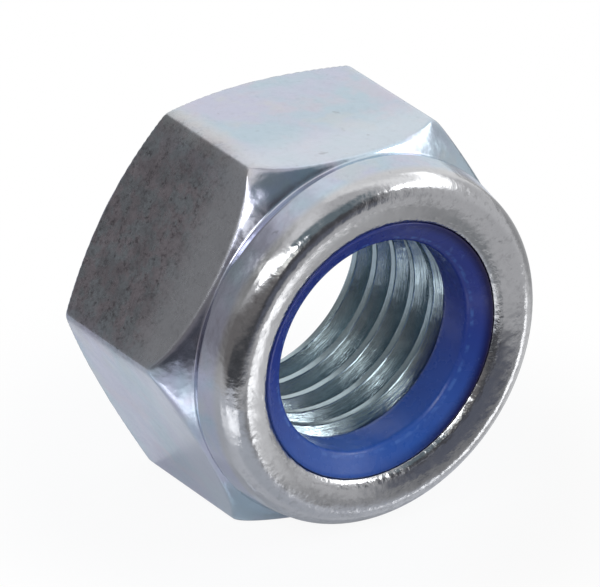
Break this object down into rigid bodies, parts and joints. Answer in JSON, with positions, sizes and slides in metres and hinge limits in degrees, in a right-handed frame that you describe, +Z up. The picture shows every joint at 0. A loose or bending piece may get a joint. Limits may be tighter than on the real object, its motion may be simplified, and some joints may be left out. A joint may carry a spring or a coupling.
{
  "type": "nylon insert lock nut",
  "caption": "Hexagon lock nut with a round collar crimped over a nylon ring that grips the bolt.",
  "frame": {"origin": "on the floor under the middle of the nut, below the thread axis and half way along it", "axes": "+Z up from the flat that the nut lies on to the opposite flat; the thread axis is along Y, 12 mm up, with the bearing face towards +Y and the collar with the nylon ring towards -Y"},
  "size_m": [0.0274, 0.0158, 0.024],
  "materials": {
    "zinc_plate": "bright zinc plate, satin, faintly iridescent on the flats",
    "blue_nylon": "moulded blue nylon, semi-gloss"
  },
  "bodies": {
    "root": {"nut_body": "zinc_plate", "nylon_insert": "blue_nylon"}
  },
  "joints": []
}
